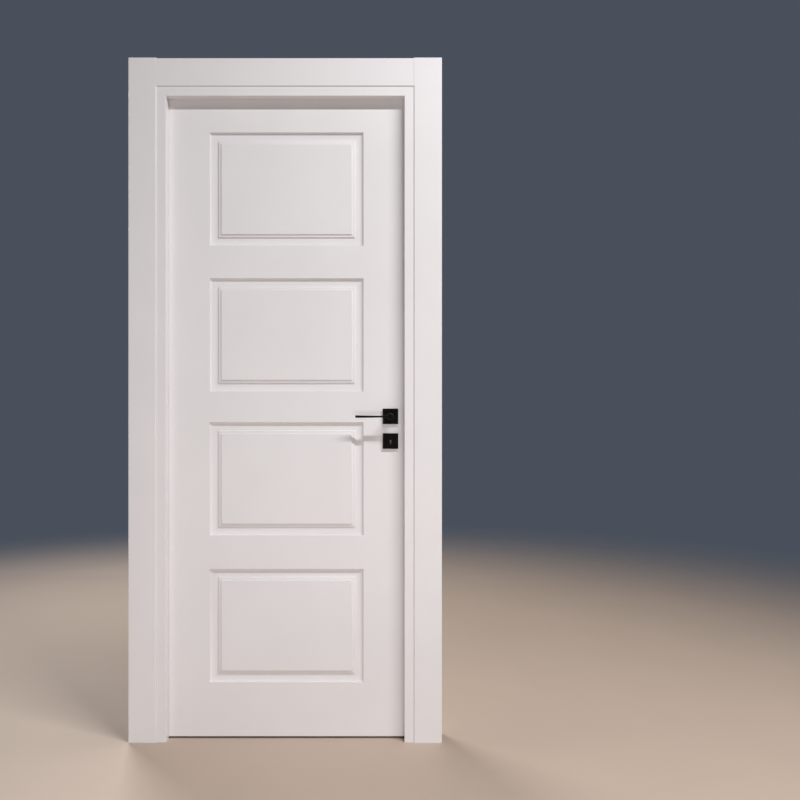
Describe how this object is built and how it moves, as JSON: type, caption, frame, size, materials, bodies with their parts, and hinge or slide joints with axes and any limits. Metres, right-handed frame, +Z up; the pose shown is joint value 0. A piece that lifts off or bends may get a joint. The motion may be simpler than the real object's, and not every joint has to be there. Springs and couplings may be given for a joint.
{
  "type": "panelled door in its frame",
  "caption": "White panelled interior door leaf in a rebated lining with flat casings, butt hinges, a mortise lock, square roses and slim lever handles.",
  "frame": {"origin": "on the floor, in the middle of the doorway, in the leaf's mid-plane", "axes": "+Z up; -Y towards the side that the leaf is pushed from; +X towards the lock side, hinges at -X"},
  "size_m": [1.004, 0.142, 2.193],
  "materials": {
    "lacquered_leaf": "smooth warm white lacquer over fibreboard, satin",
    "lacquered_lining": "smooth warm white lacquer over fibreboard, satin",
    "lacquered_casing": "smooth warm white lacquer over fibreboard, satin",
    "chipboard": "raw chipboard, hidden in the leaf",
    "white_seal": "soft white compression seal",
    "black_furniture": "satin black coating",
    "black_metal": "satin black coating",
    "bright_bolt": "nickelled, lightly brushed",
    "zinc_steel": "zinc-plated steel",
    "zinc_screws": "zinc-plated screws"
  },
  "bodies": {
    "frame": {"hinge_jamb": "lacquered_lining", "lock_jamb": "lacquered_lining", "head_jamb": "lacquered_lining", "hinge_front_casing": "lacquered_casing", "lock_front_casing": "lacquered_casing", "head_front_casing": "lacquered_casing", "hinge_back_casing": "lacquered_casing", "lock_back_casing": "lacquered_casing", "head_back_casing": "lacquered_casing", "hinge_seal": "white_seal", "lock_seal": "white_seal", "head_seal": "white_seal", "corner_screws": "zinc_screws", "strike_plate": "black_metal", "strike_screws": "black_metal", "top_hinge_frame_plate": "black_metal", "middle_hinge_frame_plate": "black_metal", "bottom_hinge_frame_plate": "black_metal", "top_hinge_pin": "black_metal", "middle_hinge_pin": "black_metal", "bottom_hinge_pin": "black_metal", "frame_hinge_screws": "black_metal"},
    "leaf": {"front_face_board": "lacquered_leaf", "back_face_board": "lacquered_leaf", "hinge_stile": "lacquered_leaf", "lock_stile": "lacquered_leaf", "bottom_rail": "lacquered_leaf", "top_rail": "lacquered_leaf", "core_board": "chipboard", "top_hinge_door_plate": "black_metal", "middle_hinge_door_plate": "black_metal", "bottom_hinge_door_plate": "black_metal", "door_hinge_screws": "black_metal", "lock_case": "zinc_steel", "lock_forend": "black_metal", "forend_screws": "black_metal", "front_lever_rose_base": "zinc_steel", "front_lever_rose_cover": "black_furniture", "back_lever_rose_base": "zinc_steel", "back_lever_rose_cover": "black_furniture", "front_key_rose_base": "zinc_steel", "front_key_rose_cover": "black_furniture", "back_key_rose_base": "zinc_steel", "back_key_rose_cover": "black_furniture", "rose_through_bolts": "zinc_screws"},
    "handle": {"front_lever": "black_furniture", "back_lever": "black_furniture", "spindle": "zinc_steel", "follower": "zinc_steel", "grub_screws": "zinc_screws"},
    "latch": {"latch_bolt": "bright_bolt"},
    "deadbolt": {"deadbolt": "bright_bolt"}
  },
  "joints": [
    {"name": "leaf_swing", "type": "hinge", "parent": "frame", "child": "leaf", "pos_m": [-0.3935, 0.028, 1.04375], "axis": [0, 0, 1], "range_deg": [0, 170]},
    {"name": "handle_turn", "type": "hinge", "parent": "leaf", "child": "handle", "pos_m": [0.337, 0, 1.044], "axis": [0, -1, 0], "range_deg": [0, 40], "stiffness_Nm_per_rad": 1.5, "springref_deg": -28.65},
    {"name": "latch_slide", "type": "slide", "parent": "leaf", "child": "latch", "axis": [-1, 0, 0], "range_m": [0, 0.0121]},
    {"name": "deadbolt_throw", "type": "slide", "parent": "leaf", "child": "deadbolt", "axis": [1, 0, 0], "range_m": [0, 0.014]}
  ],
  "couplings": [
    {"joint": "latch_slide", "follows": "handle_turn", "m_per_rad": 0.017189}
  ]
}
